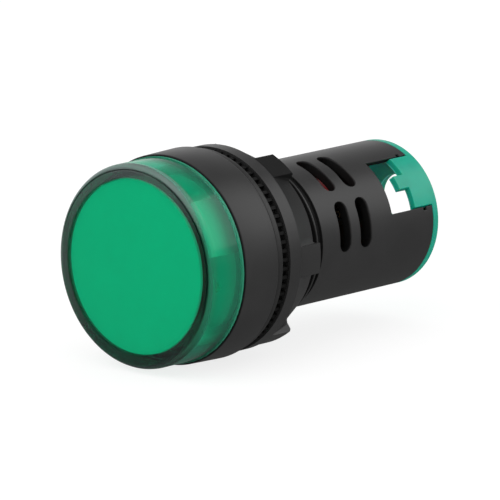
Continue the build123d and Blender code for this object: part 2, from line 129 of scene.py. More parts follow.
def tidy(mesh, reach, flat=None):
    """Merges points closer than reach (metres), drops empty faces, turns the rest outwards.

    Where flat is given, faces that meet at less than that angle become one."""
    shape = bmesh.new()
    shape.from_mesh(mesh)
    bmesh.ops.remove_doubles(shape, verts=shape.verts, dist=reach)
    bmesh.ops.dissolve_degenerate(shape, edges=shape.edges, dist=reach / 2)
    if flat:
        bmesh.ops.dissolve_limit(
            shape, angle_limit=math.radians(flat), verts=shape.verts, edges=shape.edges)
    bmesh.ops.recalc_face_normals(shape, faces=shape.faces)
    shape.to_mesh(mesh)
    shape.free()


def shade(mesh, crease):
    """Smooth shading, with a sharp edge wherever two faces meet at more than crease degrees."""
    mesh.shade_smooth()
    mesh.set_sharp_from_angle(angle=math.radians(crease))


def joined(patches, points=np.empty((0, 3)), quads=np.empty((0, 4), int)):
    """Adds grids of points (rows, columns, 3) to the points and quads that are there already."""
    for patch in patches:
        quads = np.concatenate([quads, quads_of(*patch.shape[:2], len(points)).reshape(-1, 4)])
        points = np.concatenate([points, patch.reshape(-1, 3)])
    return points, quads


def patches_object(name, patches, crease=30.0):
    """One object from several grids of points."""
    return mesh_object(name, *joined(patches), crease)


# %% [markdown]
# ## Rounded outlines
# No moulded edge is truly sharp: the steel of the mould leaves a radius of one or
# two tenths. The light catches it as the thin bright line that shows where one
# piece ends. A turned piece gets these radii in its outline, before it is turned.

# %% Outlines with rounded corners, and turned pieces
def rounded(corners, radii, steps=4):
    """Closed outline with each corner replaced by an arc tangent to both its sides.

    The arc ends lie radius / tan(half the corner's angle) from the corner, and its
    points turn evenly from one tangent point to the other about the arc's centre."""
    corners = np.array(corners, float)
    radii = np.broadcast_to(np.array(radii, float), len(corners))[:, None]
    before = np.roll(corners, 1, axis=0) - corners
    after = np.roll(corners, -1, axis=0) - corners
    before /= np.linalg.norm(before, axis=1, keepdims=True)
    after /= np.linalg.norm(after, axis=1, keepdims=True)
    half = np.arccos(np.clip((before * after).sum(1, keepdims=True), -1, 1)) / 2
    middle = before + after
    middle /= np.linalg.norm(middle, axis=1, keepdims=True)
    centre = corners + middle * radii / np.sin(half)
    first = corners + before * radii / np.tan(half) - centre
    last = corners + after * radii / np.tan(half) - centre
    sweep = math.pi - 2 * half
    share = np.linspace(0, 1, steps + 1)[None, :, None]
    sweep = sweep[:, None, :]
    arc = np.sin((1 - share) * sweep) * first[:, None] + np.sin(share * sweep) * last[:, None]
    return (centre[:, None] + arc / np.sin(sweep)).reshape(-1, 2)


def turned(name, outline, columns=160, crease=30.0):
    """Turns a closed outline of (radius, y) points once about the axis."""
    outline = np.vstack([outline, outline[:1]])
    angles = np.linspace(0, 360, columns + 1)
    return patches_object(name, [polar(outline[:, :1], outline[:, 1:], angles[None])], crease)


# %% [markdown]
# ## Softened edges on cut shapes
# Slots and lugs can't be turned, so their edges are rounded by a Bevel modifier.
# Each edge carries a weight that says how much of the modifier's width it gets, so
# a tooth half a millimetre wide and a broad lug can share one modifier.

# %% A bevel that follows edge weights
def soften(piece, width, rule=None, segments=2):
    """Bevels the sharp edges; rule(midpoints in mm) gives each one's share of the width."""
    mesh = piece.data
    ends = np.empty(len(mesh.edges) * 2, np.int32)
    mesh.edges.foreach_get("vertices", ends)
    sharp = np.empty(len(mesh.edges), bool)
    mesh.edges.foreach_get("use_edge_sharp", sharp)
    points = np.empty(len(mesh.vertices) * 3, np.float32)
    mesh.vertices.foreach_get("co", points)
    middles = points.reshape(-1, 3)[ends.reshape(-1, 2)].mean(axis=1) / MM
    share = np.ones(len(middles)) if rule is None else rule(middles)
    weights = mesh.attributes.new("bevel_weight_edge", "FLOAT", "EDGE")
    weights.data.foreach_set("value", np.where(sharp, share, 0).astype(np.float32))
    bevel = piece.modifiers.new("soft edges", "BEVEL")
    bevel.limit_method = "WEIGHT"
    bevel.width = width * MM
    bevel.segments = segments
    bevel.harden_normals = True
    print(piece.name, int((sharp * share > 0).sum()), "edges softened by", width, "mm")
    return piece


# %% [markdown]
# ## Softened copies of CAD parts
# The cap, the terminal block and the metal parts already have their right form in
# CAD. A copy of such a part is merged, its flat triangles are joined to whole
# faces, and the same bevel rounds its edges. The CAD part itself is never changed:
# the copy stands in its place in the picture.

# %% Copies that keep the CAD form
COPY_REACH = 2e-6                           # metres within which its points are merged
COPY_FLAT, COPY_CREASE = 0.6, 32.0          # degrees: still one flat face, already an edge


def softened_copy(node, width, segments=2):
    """A merged copy of a CAD node with rounded edges, standing for that node."""
    mesh = nodes[node].data.copy()
    mesh.materials.clear()
    for extra in ("custom_normal", "sharp_face", "sharp_edge"):
        if extra in mesh.attributes:
            mesh.attributes.remove(mesh.attributes[extra])
    tidy(mesh, COPY_REACH, COPY_FLAT)
    shade(mesh, COPY_CREASE)
    piece = bpy.data.objects.new(node + "_soft", mesh)
    bpy.context.scene.collection.objects.link(piece)
    soften(piece, width, segments=segments)
    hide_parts(node)
    return piece


# %% [markdown]
# ## The camera
# The photograph was matched by fitting a camera to the circles of the head, the
# nut and the barrel. It stands in front, about 42 degrees to the side of the axis
# and a little above it, and looks through a long lens, so the far end of the light
# is hardly smaller than the near one.

# %% Camera
TURN, TILT = math.radians(41.54), math.radians(11.61)
FOCAL_LENGTH, SENSOR_WIDTH = 456.8, 36.0    # millimetres
CAMERA_PLACE = (0.5718, -0.6360, 0.1759)    # metres
flat = math.cos(TILT)                       # the share of the view that is level
back = np.array([math.sin(TURN) * flat, -math.cos(TURN) * flat, math.sin(TILT)])
right = np.array([math.cos(TURN), math.sin(TURN), 0.0])
up = np.cross(back, right)
camera = bpy.data.objects.new("camera", bpy.data.cameras.new("camera"))
bpy.context.scene.collection.objects.link(camera)
camera.data.sensor_width = SENSOR_WIDTH
camera.data.lens = FOCAL_LENGTH
pose = np.eye(4)
pose[:3, :3] = np.stack([right, up, back], axis=1)
pose[:3, 3] = CAMERA_PLACE
camera.matrix_world = Matrix(pose)
bpy.context.scene.camera = camera
print("camera looks along", np.round(-back, 3))

# %% [markdown]
# ## The housing
# Head and barrel are one black moulding. Its barrel is a tube with slots and
# windows cut through the wall. Cutting them with booleans leaves ragged triangles
# that shade badly, so the wall is drawn as two grids, outside and inside, that
# share one plan of cells: a cell is wall or opening. Columns stand exactly at the
# edges of the openings, and rows bend round the slots' ends.

# %% Columns round the barrel
VENT_MIDDLE, VENT_HALF_SPAN = 24.75, 20.0   # degrees from a window's middle
VENT_HALF_WIDTH = 1.175
WINDOW_HALF, CATCH_HALF = 4.085, 4.505      # half widths of a window and its catch notch
vent_straight = BARREL_R * math.sin(math.radians(VENT_HALF_SPAN)) - VENT_HALF_WIDTH
window_edge, catch_edge = np.degrees(np.arcsin(np.array([WINDOW_HALF, CATCH_HALF]) / BARREL_R))


def slot_end(steps=5):
    """Angles from a slot's middle to the points of its round end, evenly along the arc."""
    bend = np.radians(np.linspace(0, 90, steps + 1))
    return np.degrees(np.arcsin((vent_straight + VENT_HALF_WIDTH * np.sin(bend)) / BARREL_R))


def column_angles():
    """Angles of all columns from -90 to 270 degrees, alike about each window's middle.

    Each stop is an angle and the number of columns from there to the next stop."""
    end = slot_end()
    stops = [(0, 3), (VENT_MIDDLE - end[-1], 0), (VENT_MIDDLE - end[0], 6), (window_edge, 2),
             (catch_edge, 6), (VENT_MIDDLE + end[0], 0), (VENT_MIDDLE + end[-1], 22), (90, 0)]
    parts = [np.linspace(a, b, n, endpoint=False) for (a, n), (b, _) in zip(stops, stops[1:]) if n]
    parts += [VENT_MIDDLE - end[:0:-1], VENT_MIDDLE + end[:-1], [90.0]]
    quarter = np.unique(np.round(np.concatenate(parts), 9))
    half = np.concatenate([-quarter[:0:-1], quarter])
    return np.concatenate([half, half[1:] + 180])


angles = column_angles()
fold = (angles + 90) % 180 - 90
fold[-1] = 90
fold[len(fold) // 2] = 90
across = np.abs(fold)
print("columns round the barrel:", len(angles) - 1)

# %% [markdown]
# The slots and windows are cut straight in, so their sides are parallel, and on
# the smaller inside radius the same side lies at a wider angle. The inner grid
# uses those angles, which is what makes the cut walls flat as a mould leaves them.

# %% Angles of the same columns on the inner wall
def stretched(values, low_in, high_in, low_out, high_out):
    """Maps values between two limits evenly to two others."""
    return low_out + (values - low_in) * (high_out - low_out) / (high_in - low_in)


def parallel(values, middle, inner_r):
    """Angle at the inner radius of a line that keeps its distance from the middle plane."""
    sine = BARREL_R / inner_r * np.sin(np.radians(values - middle))
    return middle + np.degrees(np.arcsin(np.clip(sine, -1, 1)))


vent_low, vent_high = VENT_MIDDLE - VENT_HALF_SPAN, VENT_MIDDLE + VENT_HALF_SPAN
low_in, high_in = parallel(np.array([vent_low, vent_high]), VENT_MIDDLE, FRONT_BORE_R)
inner_vent = parallel(across, VENT_MIDDLE, FRONT_BORE_R)
before_vent, after_vent = across <= vent_low, across > vent_high
inner_vent = np.where(before_vent, stretched(across, 0, vent_low, 0, low_in), inner_vent)
inner_vent = np.where(after_vent, stretched(across, vent_high, 90, high_in, 90), inner_vent)
catch_in = parallel(catch_edge, 0, REAR_BORE_R)
after_catch = stretched(across, catch_edge, 90, catch_in, 90)
inner_window = np.where(across <= catch_edge, parallel(across, 0, REAR_BORE_R), after_catch)
turns = angles - fold
inner_vent_angles = turns + np.sign(fold) * inner_vent
inner_window_angles = turns + np.sign(fold) * inner_window
print("slot ends inside:", round(float(low_in), 2), round(float(high_in), 2))

# %% Rows of the barrel, bent round the slots
VENT_ROWS = [17.853, 22.202]                # middles of the two slots of a pair
WINDOW_FRONT, CATCH_FRONT, CATCH_REAR = 28.0, 34.8, 35.4
NEAR = 1e-6                                 # degrees by which an angle may be off
FRONT_ROWS, REAR_ROWS = 6, 5                # rows before and behind the bore's step
offset = BARREL_R * np.sin(np.radians(np.abs(across - VENT_MIDDLE)))
past_straight = np.clip(offset - vent_straight, 0, None)
bulge = np.sqrt(np.clip(VENT_HALF_WIDTH ** 2 - past_straight ** 2, 0, None))
bulge[(across <= vent_low + NEAR) | (across >= vent_high - NEAR)] = 0
flat_row = np.zeros_like(bulge)
straight_rows = (SHOULDER, SHOULDER, WINDOW_FRONT, CATCH_FRONT, CATCH_REAR, BARREL_END)
row_y = np.stack(
    [flat_row + BARREL_START]
    + [middle + side * bulge for middle in VENT_ROWS for side in (-1, 1)]
    + [flat_row + y for y in straight_rows])
outer_wall = polar(BARREL_R, row_y, CLOCK + angles[None])
inner_r = np.array([FRONT_BORE_R] * FRONT_ROWS + [REAR_BORE_R] * REAR_ROWS)[:, None]
inner_angles = np.array([inner_vent_angles] * FRONT_ROWS + [inner_window_angles] * REAR_ROWS)
inner_wall = polar(inner_r, row_y, CLOCK + inner_angles)
print("rows of the barrel:", len(row_y))

# %% Which cells are open
cell = (across[:-1] + across[1:]) / 2
is_open = np.zeros((len(row_y) - 1, len(cell)), bool)
VENT_CELLS, WINDOW_CELLS, CATCH_CELLS = [1, 3], slice(7, None), 8
is_open[VENT_CELLS] = (cell > vent_low) & (cell < vent_high)
is_open[WINDOW_CELLS] = cell < window_edge
is_open[CATCH_CELLS] |= cell < catch_edge
print("open cells:", int(is_open.sum()), "of", is_open.size)


# %% Skins and the walls of the openings
def walled(outer, inner, open_cells):
    """Both skins where the plan is solid, and a wall quad on each edge between solid and open.

    The far end of the grid counts as open, so the tube's rim is closed in the same way."""
    rows, columns = outer.shape[:2]
    count = rows * columns
    near = quads_of(rows, columns)[~open_cells]
    far = quads_of(rows, columns, count)[~open_cells]
    index = np.arange(count).reshape(rows, columns)
    below = np.vstack([open_cells, np.ones((1, columns - 1), bool)])
    level = below[1:] != below[:-1]
    a, b = index[1:, :-1][level], index[1:, 1:][level]
    ring = np.stack([a, b, b + count, a + count], axis=-1)
    side = open_cells != np.roll(open_cells, 1, axis=1)
    a, b = index[:-1, :-1][side], index[1:, :-1][side]
    upright = np.stack([a, b, b + count, a + count], axis=-1)
    points = np.concatenate([outer.reshape(-1, 3), inner.reshape(-1, 3)])
    return points, np.concatenate([near, far, ring, upright])


barrel_points, barrel_quads = walled(outer_wall, inner_wall, is_open)
print("barrel faces:", len(barrel_quads))

# %% [markdown]
# ## The thread
# CAD leaves the thread plain. A real one is a ridge that climbs one pitch per
# turn. It is drawn as one grid: each row is a fixed place on the ridge's section,
# and its y grows with the angle, so after a full turn a row meets the row of the
# next ridge. Both ends fade into the plain neck, as the run-out of a mould does.

# %% A helical thread on a grid
section_y = np.array([-0.60, -0.50, -0.16, -0.09, 0.09, 0.16, 0.50, 0.60])
section_height = np.array([0.0, 0.03, 0.93, 1.0, 1.0, 0.93, 0.03, 0.0])
CREST_Y, CREST_ANGLE = 11.08, 60.0          # one point of the crest that shows behind the nut
THREAD_FROM, THREAD_TO, FADE = 0.2, 12.0, 0.5
FIRST_TURN, LAST_TURN = -10, 1


def thread_grid(columns):
    """Rows y = crest + pitch (turn + angle / 360) + section.

    The radius is the neck's plus the thread's depth times section height times fade."""
    turn = np.arange(FIRST_TURN, LAST_TURN + 1)
    climb = THREAD_PITCH * (columns + CLOCK - CREST_ANGLE) / 360
    y = CREST_Y + THREAD_PITCH * turn[:, None, None] + section_y[None, :, None] + climb
    y = y.reshape(-1, len(columns))
    height = np.tile(section_height, len(turn))[:, None]
    fade = np.clip((y - THREAD_FROM) / FADE, 0, 1) * np.clip((THREAD_TO - y) / FADE, 0, 1)
    radius = NECK_R + (THREAD_R - NECK_R) * height * fade
    return polar(radius, np.clip(y, THREAD_FROM, THREAD_TO), CLOCK + columns[None])


thread = thread_grid(angles)
print("thread rows:", thread.shape[0])

# %% [markdown]
# The head is a turned skin on the same columns, from the barrel's neck forward
# over the head's outside, round its front rim and back inside to the bore.

# %% Skins of head and neck
EDGE, RIM_EDGE = 0.28, 0.15                 # radii of the head's outer and inner edges


def skin_of(profile):
    """A profile of (radius, y) points turned over the housing's columns."""
    profile = np.array(profile)
    return polar(profile[:, :1], profile[:, 1:], CLOCK + angles[None])


head_outside = rounded(
    [(NECK_R, HEAD_REAR), (HEAD_REAR_R, HEAD_REAR), (HEAD_FRONT_R, HEAD_FRONT),
     (HEAD_BORE_R, HEAD_FRONT)], [0, EDGE, EDGE, RIM_EDGE])
head_floor = np.stack([
    polar(HEAD_BORE_R, HEAD_FLOOR, CLOCK + angles),
    polar(FRONT_BORE_R, HEAD_FLOOR, CLOCK + inner_vent_angles),
    polar(FRONT_BORE_R, BARREL_START, CLOCK + inner_vent_angles)])
skins = [
    skin_of([(NECK_R, THREAD_FROM), (NECK_R, HEAD_REAR)]),
    skin_of(np.vstack([head_outside, [(HEAD_BORE_R, HEAD_FLOOR)]])),
    thread,
    skin_of([(NECK_R, THREAD_TO), (NECK_R, BARREL_START), (BARREL_R, BARREL_START)]),
    head_floor]
print("skins of head, neck and thread:", len(skins))

# %% [markdown]
# Inside the barrel four ribs hold the board, two at each of its edges. They are
# plain boxes, so each is a unit cube stretched to its size. Then all the skins go
# into one mesh, and the edges of the openings are softened.

# %% Rails, and the whole housing
RAIL_FROM, RAIL_SIZE = np.array([8.0, 0.5, 0.85]), np.array([1.3, 20.0, 0.9])
INNER_SHARE = 0.35                          # of the bevel's width, on a wall's inner edges


def rail_boxes():
    """The sides and ends of four unit cubes, stretched, mirrored to both sides and turned."""
    ring = np.array([(0, 0), (1, 0), (1, 1), (0, 1), (0, 0)], float)
    sides = np.stack([np.insert(ring, 1, y, axis=1) for y in (0, 1)], axis=1)
    ends = [sides[[0, 1, 3, 2], y].reshape(2, 2, 3) for y in (0, 1)]
    boxes = []
    for mirror in ((-1, 1, -1), (-1, 1, 1), (1, 1, -1), (1, 1, 1)):
        boxes += [(RAIL_FROM + part * RAIL_SIZE) * mirror for part in (sides, *ends)]
    sine, cosine = math.sin(math.radians(CLOCK)), math.cos(math.radians(CLOCK))
    return [box @ np.array([(cosine, 0, -sine), (0, 1, 0), (sine, 0, cosine)]) for box in boxes]


points, quads = joined(skins + rail_boxes(), barrel_points, barrel_quads)
housing = mesh_object("housing_moulding", points, quads, crease=38.0)


def opening_edges(middles):
    """Full width on the barrel's outer edges round the openings, a third on the inner ones."""
    radius = np.hypot(middles[:, 0], middles[:, 2])
    inner = np.where(radius > FRONT_BORE_R - 0.3, INNER_SHARE, 0.0)
    share = np.where(radius > BARREL_R - 0.06, 1.0, inner)
    return np.where(middles[:, 1] > BARREL_START + 0.5, share, 0.0)


soften(housing, 0.14, opening_edges)
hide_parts("housing")
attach(housing, "housing")

# %% [markdown]
# ## The mounting nut
# The nut has 72 small teeth on its front ring, a tapered flange and six lugs. All
# of it is one skin round the axis whose radius jumps at the sides of teeth and
# lugs. Every angular cell brings its own left and right column, so where two
# neighbours differ the jump becomes a flat wall, and where they agree the two
# columns merge. The photograph shows a toothed ring that is set in a little from
# the flange, with notches somewhat deeper and longer than CAD's, and a soft foot at
# each side of a lug, so the sizes here are the photograph's.

# %% Columns of the nut
TEETH, LUGS = 72, 6
TOOTH_PITCH, LUG_PITCH = 360 / TEETH, 360 / LUGS
FIRST_NOTCH, NOTCH_HALF, LUG_HALF, FOOT = -1.0, 1.55, 8.5, 4.5      # degrees


def off_middle(angle, pitch):
    """Degrees from an angle to the nearest multiple of the pitch."""
    return np.abs((angle + pitch / 2) % pitch - pitch / 2)


def nut_columns():
    """Start and end column of every cell between the sides of teeth and lugs, and its kind."""
    notch = FIRST_NOTCH + TOOTH_PITCH * np.arange(TEETH)
    lug = LUG_PITCH * np.arange(LUGS)
    foot = LUG_HALF + FOOT * np.linspace(0, 1, 7)
    stops = np.concatenate([
        notch - NOTCH_HALF, notch + NOTCH_HALF, notch + TOOTH_PITCH / 2,
        np.add.outer(lug, foot).ravel(), np.add.outer(lug, -foot).ravel()])
    stops = np.unique(np.round(stops % 360, 9))
    stops = np.append(stops, stops[0] + 360)
    middle = (stops[:-1] + stops[1:]) / 2
    in_notch = off_middle(middle - FIRST_NOTCH, TOOTH_PITCH) < NOTCH_HALF
    in_lug = off_middle(middle, LUG_PITCH) < LUG_HALF
    angle = np.stack([stops[:-1], stops[1:]], axis=1).ravel()
    return angle, np.repeat(in_notch, 2), np.repeat(in_lug, 2)


nut_angle, in_notch, in_lug = nut_columns()
print("columns of the nut:", len(nut_angle))

# %% The nut as one skin with jumps
BORE_R, TOOTH_R, NOTCH_R, RIM_R, REAR_R = 11.01, 14.12, 13.5, 14.42, 11.9
NUT_START, RING_END, BAND_END, NUT_END = 0.04, 1.45, 3.64, 9.14
LUG_R, LUG_END, LUG_CORNER, FOOT_HEIGHT = 14.25, 8.29, 0.35, 0.4
LUG_FLAT = LUG_END - LUG_CORNER             # where the flat of a lug ends and its slope starts
SMALL_EDGE = 0.3                            # of the bevel's width, on teeth and bore


def cone(y):
    """Radius of the flange's taper at y."""
    return stretched(y, BAND_END, NUT_END, RIM_R, REAR_R)


def lug_share(angle, in_lug):
    """1 on a lug; beside it a quarter circle from the foot's height down to nothing."""
    away = np.clip((off_middle(angle, LUG_PITCH) - LUG_HALF) / FOOT, 0, 1)
    return np.where(in_lug, 1.0, FOOT_HEIGHT * (1 - np.sqrt(1 - (1 - away) ** 2)))


# y, then the radius of the plain skin, of a notch and of a lug
rows = np.array([
    (NUT_START, BORE_R, BORE_R, BORE_R),
    (NUT_START, TOOTH_R, NOTCH_R, RIM_R),
    (RING_END, TOOTH_R, NOTCH_R, RIM_R),
    (RING_END, RIM_R, RIM_R, RIM_R),
    (BAND_END, RIM_R, RIM_R, RIM_R),
    (stretched(LUG_R, RIM_R, REAR_R, BAND_END, NUT_END), LUG_R, LUG_R, LUG_R),
    (LUG_FLAT, cone(LUG_FLAT), cone(LUG_FLAT), LUG_R),
    (LUG_END, cone(LUG_END), cone(LUG_END), LUG_R - LUG_CORNER),
    (LUG_END, cone(LUG_END), cone(LUG_END), cone(LUG_END)),
    (NUT_END, REAR_R, REAR_R, REAR_R),
    (NUT_END, BORE_R, BORE_R, BORE_R),
    (NUT_START, BORE_R, BORE_R, BORE_R)])
row_at, plain, notched, lugged = np.split(rows, 4, axis=1)
nut_radius = plain + (lugged - plain) * lug_share(nut_angle, in_lug)
toothed = slice(1, 4)
nut_radius[toothed] = np.where(in_notch, notched[toothed], plain[toothed])
nut_skin = polar(nut_radius, row_at, NUT_CLOCK + nut_angle[None])
nut_skin = np.concatenate([nut_skin, nut_skin[:, :1]], axis=1)
nut = patches_object("nut_moulding", [nut_skin], crease=24.0)


def nut_edges(middles):
    """Less than a third of the width on the teeth and in the bore, all of it elsewhere."""
    radius = np.hypot(middles[:, 0], middles[:, 2])
    small = (radius < BORE_R + 0.05) | (middles[:, 1] < RING_END + 0.05)
    return np.where(small, SMALL_EDGE, 1.0)


soften(nut, 0.2, nut_edges)
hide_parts("mounting_nut")
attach(nut, "nut")

# %% [markdown]
# ## Gasket, lens and diffuser
# These are plain turned pieces. The gasket is soft rubber with a full rim. The lens
# is a clear cup: its wall must be a true solid with an inner face, because light
# bends when it enters and when it leaves, and only a closed wall shows the dark
# ring and the pale panels behind it as the real lens does. Its front corner has the
# photograph's radius, where CAD has a smaller one in three narrow cones.

# %% Gasket
GASKET_BORE_R, GASKET_R, GASKET_FRONT, GASKET_END = 10.15, 14.5, -1.28, -0.02
gasket = turned("gasket_ring", rounded(
    [(GASKET_BORE_R, GASKET_FRONT), (GASKET_R, GASKET_FRONT), (GASKET_R, GASKET_END),
     (GASKET_BORE_R, GASKET_END)], [0.1, 0.3, 0.3, 0.1]), crease=50.0)
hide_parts("gasket")
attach(gasket, "housing")

# %% Lens
CORNER, FACE_BACK = 1.1, -13.7              # the front corner's radius, the face's inner side
COLLAR_R, COLLAR_START, COLLAR_FULL, COLLAR_END = 14.37, -8.5, -8.38, -7.94
SKIRT_R = 13.3                              # the part that sits in the head
lens = turned("lens_shell", rounded(
    [(0, LENS_FRONT), (LENS_R, LENS_FRONT), (LENS_R, COLLAR_START), (COLLAR_R, COLLAR_FULL),
     (COLLAR_R, COLLAR_END), (SKIRT_R, COLLAR_END), (SKIRT_R, LENS_END), (LENS_BORE_R, LENS_END),
     (LENS_BORE_R, FACE_BACK), (0, FACE_BACK)],
    [0, CORNER, 0.1, 0.06, 0.1, 0.1, 0.2, 0.2, 0.05, 0], steps=6), columns=192, crease=60.0)
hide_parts("lens_cap")
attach(lens, "housing")

# %% Diffuser
DISC_R, DISC_FRONT, DISC_END = 12.12, -13.66, -12.93
disc = turned("diffuser_plate", rounded(
    [(0, DISC_FRONT), (DISC_R, DISC_FRONT), (DISC_R, DISC_END), (0, DISC_END)],
    [0, 0.2, 0.2, 0]), columns=192, crease=50.0)
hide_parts("diffuser_disc")
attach(disc, "housing")

# %% [markdown]
# ## Cap, terminals and the parts inside
# The rest keeps its CAD form with softened edges. Much of it shows only through
# the windows and slots, or when the cap is pulled off, but it is what a fitter sees
# first when wiring the light, so it gets its edges and finishes too. The dipped
# capacitor has no edges at all, so its bevel is wide and has more steps. What is
# not in this list stays as CAD has it and only gets a finish.

# %% Softened copies
COPIES = [      # node, width of its edges in mm, body, slot
    ("rear_cap", 0.1, "rear_cap", "cap_green"),
    ("terminal_block", 0.12, "housing", "terminal_green"),
    ("contact_plate_1", 0.06, "housing", "plate_brass"),
    ("contact_plate_2", 0.06, "housing", "plate_brass"),
    ("clamp_washer_1", 0.1, "screw_1", "plated_steel"),
    ("clamp_washer_2", 0.1, "screw_2", "plated_steel"),
    ("terminal_screw_1", 0.06, "screw_1", "plated_steel"),
    ("terminal_screw_2", 0.06, "screw_2", "plated_steel"),
    ("film_capacitor", 0.7, "housing", "capacitor_red"),
    ("led_carrier", 0.08, "housing", "white_plastic"),
    ("leds", 0.12, "housing", "lamp_green"),
    ("bridge_rectifier", 0.08, "housing", "component_black"),
]
for node, width, body, slot_name in COPIES:
    copy = softened_copy(node, width, segments=5 if node == "film_capacitor" else 2)
    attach(copy, body)

# %% [markdown]
# ## Writing finishes as sums
# A finish is a small calculation: a noise, scaled, added to a roughness. Written
# as nodes it fills a screen, so one class wraps a node's output and lets Python's
# own operators add the Math nodes.

# %% A socket that can be added and multiplied
class Signal:
    """One output socket. An expression on it adds Math nodes to its material."""

    def __init__(self, finish, socket):
        self.finish, self.socket = finish, socket

    def math(self, operation, *values):
        return self.finish.node("ShaderNodeMath", {"operation": operation}, dict(enumerate(values)))

    def __add__(self, other):
        return self.math("ADD", self, other)

    def __radd__(self, other):
        return self.math("ADD", other, self)

    def __sub__(self, other):
        return self.math("SUBTRACT", self, other)

    def __rsub__(self, other):
        return self.math("SUBTRACT", other, self)

    def __mul__(self, other):
        return self.math("MULTIPLY", self, other)

    def __rmul__(self, other):
        return self.math("MULTIPLY", other, self)

    def between(self, low, high):
        """0 below low, 1 above high, and smooth between them."""
        values = {"Value": self, "From Min": low, "From Max": high, "To Min": 0.0, "To Max": 1.0}
        return self.finish.node("ShaderNodeMapRange", {"interpolation_type": "SMOOTHSTEP"}, values)

    def under(self, low, high):
        """1 below low, 0 above high, and smooth between them."""
        return 1.0 - self.between(low, high)

    def larger(self, other):
        """The larger of two signals."""
        return self.math("MAXIMUM", self, other)


# %% A desk that places nodes, and a finish made on it
class NodeDesk:
    """Adds nodes to one tree and links signals."""

    def __init__(self, tree):
        self.tree = tree

    def node(self, kind, settings=None, values=None, output=0):
        """Adds a node: settings first, then values or links of its sockets; gives one output."""
        made = self.tree.nodes.new(kind)
        for key, value in (settings or {}).items():
            if key == "stops":
                ramp = made.color_ramp
                for place, colour in value[len(ramp.elements):]:
                    ramp.elements.new(place)
                for element, (place, colour) in zip(ramp.elements, value):
                    element.position, element.color = place, (*colour, 1.0)
            else:
                setattr(made, key, value)
        for key, value in (values or {}).items():
            self.put(made.inputs[key], value)
        return Signal(self, made.outputs[output])

    def split(self, vector):
        """The three numbers of a vector."""
        first = self.node("ShaderNodeSeparateXYZ", None, {0: vector})
        return [Signal(self, socket) for socket in first.socket.node.outputs]

    def put(self, socket, value):
        """Links a signal to a socket, or sets the socket's value."""
        if isinstance(value, Signal):
            self.tree.links.new(value.socket, socket)
        else:
            socket.default_value = value


class Finish(NodeDesk):
    """A material whose Principled shader has constants set here and varying inputs linked later."""

    def __init__(self, name, **constants):
        self.material = bpy.data.materials.new(name)
        self.material.use_nodes = True
        super().__init__(self.material.node_tree)
        self.shader = self.tree.nodes["Principled BSDF"]
        for key, value in constants.items():
            self.shader.inputs[key.replace("_", " ")].default_value = value

    def feed(self, **inputs):
        """Links signals to the shader's inputs."""
        for key, value in inputs.items():
            self.put(self.shader.inputs[key.replace("_", " ")], value)
        return self.material

    def surface(self):
        """The Principled shader's output."""
        return Signal(self, self.shader.outputs[0])

    def show(self, shader):
        """Makes a mixed shader the material's surface."""
        self.put(self.tree.nodes["Material Output"].inputs["Surface"], shader)

    def place(self, scale=(1.0, 1.0, 1.0)):
        """Object coordinates in millimetres, stretched by scale."""
        where = self.node("ShaderNodeTexCoord", output="Object")
        size = tuple(s / MM for s in scale)
        return self.node("ShaderNodeMapping", None, {"Vector": where, "Scale": size})

    def length_of(self, x, z):
        """Distance from the axis."""
        return x.math("SQRT", x * x + z * z)

    def noise(self, scale, detail=3.0, stretch=(1.0, 1.0, 1.0), roughness=0.5):
        """Noise from 0 to 1 whose grain is about 1/scale millimetres."""
        where = self.place(stretch)
        return self.node("ShaderNodeTexNoise", None, {
            "Vector": where, "Scale": scale, "Detail": detail, "Roughness": roughness})

    def blend(self, share, first, second):
        """Colour between two by a share."""
        values = {"Factor": share, 6: self.colour(first), 7: self.colour(second)}
        return self.node("ShaderNodeMix", {"data_type": "RGBA"}, values, output=2)

    @staticmethod
    def colour(value):
        return value if isinstance(value, Signal) else (*value, 1.0)

    def bump(self, height, distance, strength=1.0):
        """Normal from a height signal, in millimetres."""
        values = {"Height": height, "Distance": distance * MM, "Strength": strength}
        return self.node("ShaderNodeBump", None, values)


# %% [markdown]
# ## Black plastic
# The housing is a satin black moulding. A mould for such parts is spark eroded,
# which leaves a grain of about a tenth of a millimetre. Under a soft light the
# grain only widens the gloss; large soft patches where the melt cooled unevenly
# change the gloss slightly. The nut is the same plastic, and the gasket is rubber.
# Some faces get painted shade and are darker and duller than the skin: the thread's
# flanks, the walls of the slots, the bore and the head's front rim, where shade falls
# in recesses, and the nut's teeth and the upper half of its taper. A mask worked out
# from the place on the piece tells them apart, which a paint map would do only for
# one mesh.

# %% Painted shade masks for the black pieces
BLACK = (0.037, 0.0367, 0.037)


def housing_painted_shade_mask(finish):
    """Painted shade mask: 1 on head, crest and barrel outside; 0, for painted shade, on front rim,
    flanks, slot walls and bore.
    """
    x, y, z = finish.split(finish.place())
    radius = finish.length_of(x, z)
    behind_rim = y.between(HEAD_FRONT + 0.02, HEAD_FRONT + 0.2)
    crest = radius.between(THREAD_R - 0.12, THREAD_R - 0.02) * behind_rim
    on_barrel = y.between(BARREL_START - 0.05, BARREL_START + 0.05)
    return crest.larger(on_barrel * radius.between(BARREL_R - 0.4, BARREL_R - 0.05))


def flange(finish):
    """Painted shade mask of the nut: 1 on its flange and underside; less, for painted shade, on the
    teeth, and on taper and lugs in the upper half.
    """
    x, y, z = finish.split(finish.place())
    behind_teeth = y.between(RING_END - 0.05, RING_END + 0.05)
    taper = y.between(BAND_END - 0.1, BAND_END + 0.2)
    # Painted shade: the teeth near black, and taper and lugs much darker in the upper half.
    return (0.05 + 0.95 * behind_teeth) * (1.0 - 0.9 * taper * z.between(1.0, 11.0))


# %% Black finishes
def scaled(colour, factor):
    """A colour, lighter or darker by a factor."""
    return tuple(value * factor for value in colour)


